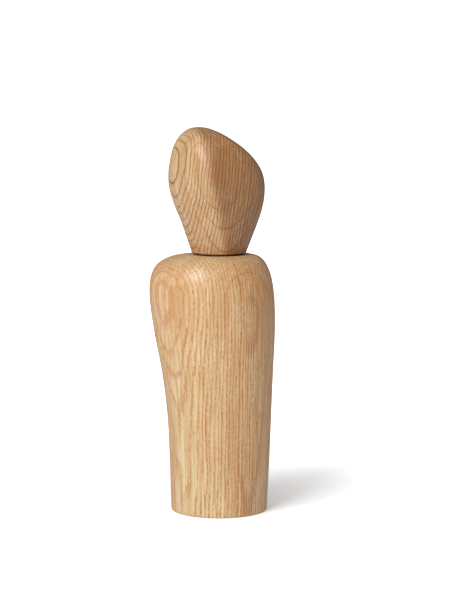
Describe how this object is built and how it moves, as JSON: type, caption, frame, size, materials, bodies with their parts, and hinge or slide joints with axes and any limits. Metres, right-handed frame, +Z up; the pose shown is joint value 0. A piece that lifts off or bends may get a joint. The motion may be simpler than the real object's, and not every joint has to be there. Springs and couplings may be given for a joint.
{
  "type": "figure-shaped pepper mill",
  "caption": "Oak pepper mill in kokeshi form: a pebble head turns on a limbless body and drives a ceramic burr grinder in the base; the head lifts off for filling.",
  "frame": {"origin": "middle of the whole outline's box, on the table plane; the shaft and neck axis stands at x 4.1 mm, y -0.32 mm", "axes": "+Z up along the drive shaft, -Y to the front, +X to the side where the head's crown slopes down"},
  "size_m": [0.0764, 0.07, 0.2334],
  "materials": {
    "oak": "oiled satin",
    "black_plastic": "satin moulded",
    "ceramic": "fine white ceramic, stated as gloss plastic because the list has no ceramic",
    "aluminium": "drawn",
    "steel": "zinc plated",
    "brass": "turned"
  },
  "bodies": {
    "mill_body": {"oak_body": "oak", "grinder_housing": "black_plastic", "outer_burr": "ceramic", "retaining_plate": "black_plastic", "plate_screw_1": "steel", "plate_screw_2": "steel", "plate_screw_3": "steel"},
    "drive": {"drive_shaft": "aluminium", "shaft_bush": "black_plastic", "thrust_washer": "steel", "burr_spring": "steel", "shaft_clip": "steel"},
    "burr": {"inner_burr": "ceramic", "burr_carrier": "black_plastic"},
    "knob": {"adjust_knob": "black_plastic", "knob_insert": "brass"},
    "head": {"oak_head": "oak", "drive_socket": "black_plastic", "socket_screw_1": "steel", "socket_screw_2": "steel", "grip_clip": "steel"}
  },
  "joints": [
    {"name": "head_turn", "type": "hinge", "parent": "mill_body", "child": "drive", "pos_m": [0.0041, -0.00032, 0.1566], "axis": [0, 0, 1], "continuous": true},
    {"name": "head_lift", "type": "slide", "parent": "drive", "child": "head", "axis": [0, 0, 1], "range_m": [0, 0.035]},
    {"name": "burr_travel", "type": "slide", "parent": "drive", "child": "burr", "axis": [0, 0, 1], "range_m": [0, 0.0012], "deforming": ["burr_spring"]},
    {"name": "grind_adjust", "type": "hinge", "parent": "burr", "child": "knob", "pos_m": [0.0041, -0.00032, 0.005], "axis": [0, 0, 1], "range_deg": [0, 540]}
  ],
  "couplings": [
    {"joint": "grind_adjust", "follows": "burr_travel", "rad_per_m": 7854}
  ]
}
